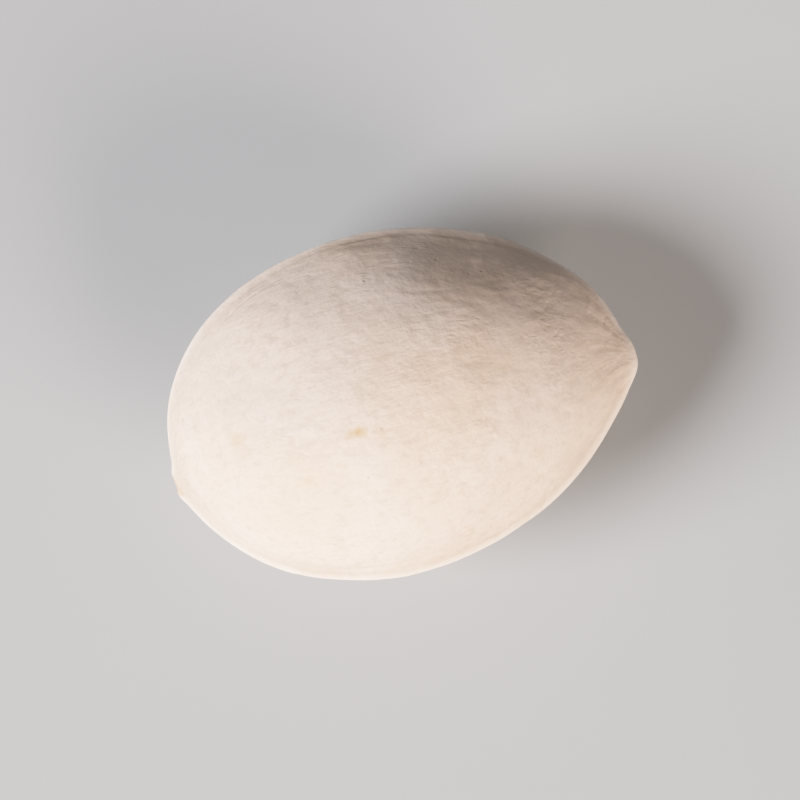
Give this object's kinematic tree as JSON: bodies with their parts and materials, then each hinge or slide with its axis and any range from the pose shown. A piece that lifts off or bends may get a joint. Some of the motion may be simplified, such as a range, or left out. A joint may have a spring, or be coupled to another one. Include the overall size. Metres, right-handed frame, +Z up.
{
  "type": "ginkgo nut in its shell",
  "caption": "Ginkgo nut in its hard pale shell: egg-shaped from above, almond-shaped edge on, with a raised keel round its rim and a blunt tip. It lies on one cheek.",
  "frame": {"origin": "under the middle of the nut's box, at the height of the flat spot it rests on", "axes": "+X along the nut from the scar at its base to its tip, +Y across the nut towards its fuller side, +Z up through the two cheeks"},
  "size_m": [0.025, 0.0178, 0.0138],
  "materials": {
    "shell": "dry, matt and chalky, cream to pale beige, with fine fibres along the nut and a paler crest on the keel"
  },
  "bodies": {
    "root": {"nut": "shell"}
  },
  "joints": []
}
